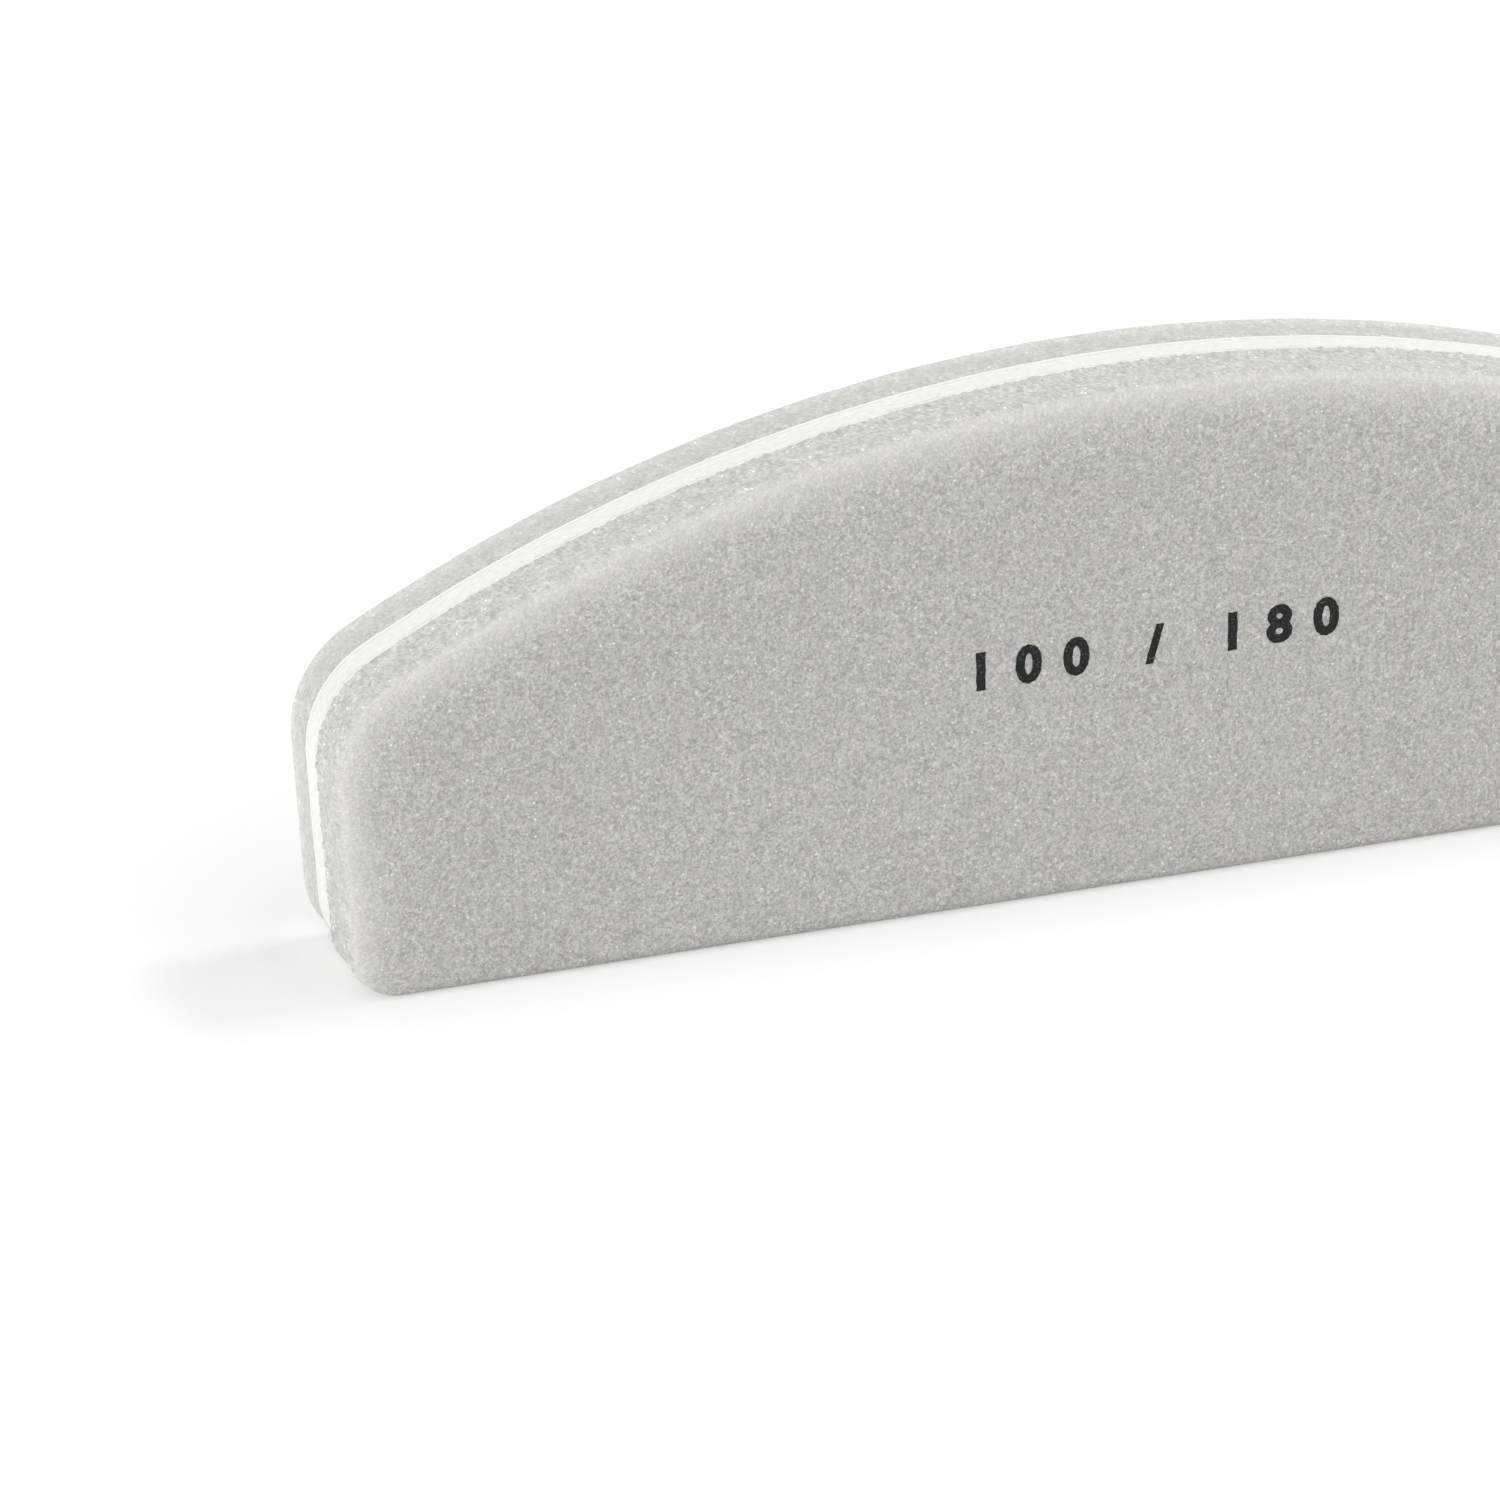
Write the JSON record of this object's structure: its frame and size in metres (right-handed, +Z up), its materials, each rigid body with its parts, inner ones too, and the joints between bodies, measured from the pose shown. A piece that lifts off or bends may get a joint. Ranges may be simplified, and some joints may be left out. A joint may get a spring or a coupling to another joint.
{
  "type": "half moon nail buffer",
  "caption": "Half-moon nail buffer: soft foam pads with a grit coat, bonded to both sides of a stiff white core plate, standing on its straight edge.",
  "frame": {"origin": "middle of the straight edge that the buffer stands on, half way through its thickness", "axes": "+X along the straight edge, +Y through the layers from the front working face to the rear one, +Z up to the crown of the half moon"},
  "size_m": [0.0884, 0.0092, 0.028],
  "materials": {
    "core_plastic": "satin white polystyrene sheet with a clean die-cut edge",
    "clear_glue": "thin transfer adhesive",
    "grey_foam": "fine closed-cell foam, cut side",
    "grey_grit": "abrasive grains set in resin, rough and matt with fine speckle"
  },
  "bodies": {
    "root": {"core_plate": "core_plastic", "front_glue_film": "clear_glue", "rear_glue_film": "clear_glue", "front_foam_pad": "grey_foam", "rear_foam_pad": "grey_foam", "front_grit_coat": "grey_grit", "rear_grit_coat": "grey_grit"}
  },
  "joints": []
}
